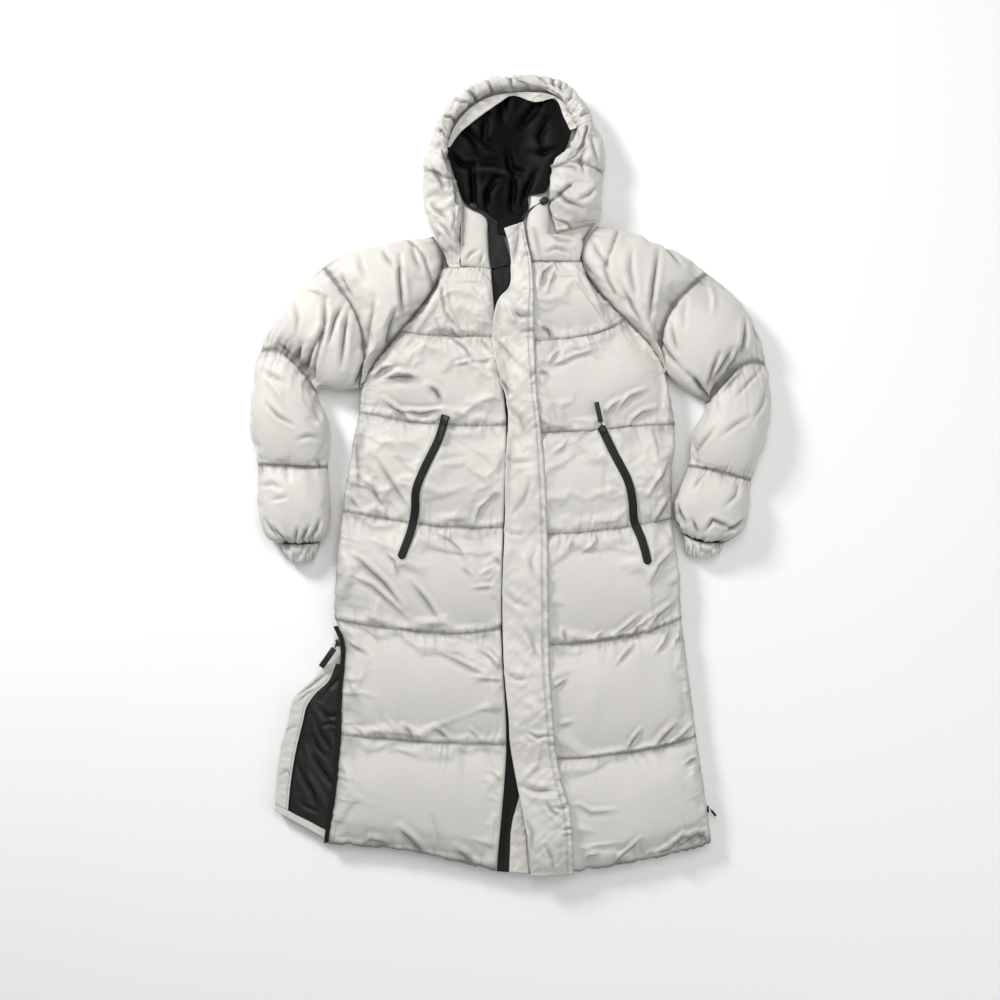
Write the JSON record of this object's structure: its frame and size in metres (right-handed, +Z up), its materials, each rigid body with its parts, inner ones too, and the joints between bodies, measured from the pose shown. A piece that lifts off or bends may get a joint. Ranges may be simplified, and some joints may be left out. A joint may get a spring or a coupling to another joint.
{
  "type": "long hooded puffer coat laid flat",
  "caption": "Long quilted coat with hood, raglan sleeves, storm flap, slanted zip pockets and a side slit, lying flat with its front up",
  "frame": {"origin": "On the surface that the coat lies on, under the middle of its bounding box", "axes": "+Y runs from the hem to the hood, +X is the wearer's left side, +Z is up from the surface through the cloth"},
  "size_m": [0.9616, 1.4674, 0.0732],
  "materials": {
    "shell": "light warm grey woven nylon with a soft sheen, quilted over filling",
    "lining": "black lining cloth, slightly glossy",
    "tape": "black coated zip tape",
    "slider": "dark painted metal",
    "pull": "black moulded rubber and plastic",
    "cord": "black braided cord"
  },
  "bodies": {
    "coat": {"back_panel": "shell", "front_right": "shell", "front_left": "shell", "sleeve_right": "shell", "sleeve_left": "shell", "cuff_right": "shell", "cuff_left": "shell", "hood_back": "shell", "hood_right": "shell", "hood_crown": "shell", "hood_left": "shell", "hood_lining": "lining", "hood_facing": "shell", "collar_right": "shell", "collar_left": "shell", "neck_facing": "tape", "centre_zip_tape": "tape", "hem_underlap": "shell", "storm_flap": "shell", "slit_facing": "shell", "slit_hem_facing": "shell", "slit_lining": "lining", "slit_zip_tape": "tape", "pocket_zip_tape_right": "tape", "pocket_zip_tape_left": "tape", "pocket_zip_slider_right": "slider", "pocket_zip_slider_left": "slider", "slit_zip_slider": "slider", "side_zip_slider": "slider", "cord_lock_right": "pull", "drawcord_right": "cord", "cord_lock_left": "pull", "drawcord_left": "cord"},
    "right_pocket_pull": {"pocket_zip_pull_right": "pull"},
    "left_pocket_pull": {"pocket_zip_pull_left": "pull"},
    "slit_pull": {"slit_zip_pull": "pull"},
    "side_pull": {"side_zip_pull": "pull"}
  },
  "joints": [
    {"name": "right_pocket_pull_swing", "type": "hinge", "parent": "coat", "child": "right_pocket_pull", "pos_m": [-0.12, 0.104, 0.05997], "axis": [-0.9703, 0.2419, 0], "range_deg": [0, 115]},
    {"name": "left_pocket_pull_swing", "type": "hinge", "parent": "coat", "child": "left_pocket_pull", "pos_m": [0.168, 0.088, 0.05781], "axis": [0.9744, 0.225, 0], "range_deg": [0, 115]},
    {"name": "slit_pull_swing", "type": "hinge", "parent": "coat", "child": "slit_pull", "pos_m": [-0.318, -0.306, 0.0371], "axis": [-0.8192, 0.5736, 0], "range_deg": [0, 115]},
    {"name": "side_pull_swing", "type": "hinge", "parent": "coat", "child": "side_pull", "pos_m": [0.37057, -0.61548, 0.018], "axis": [0, 0, 1], "range_deg": [-20, 120]}
  ]
}
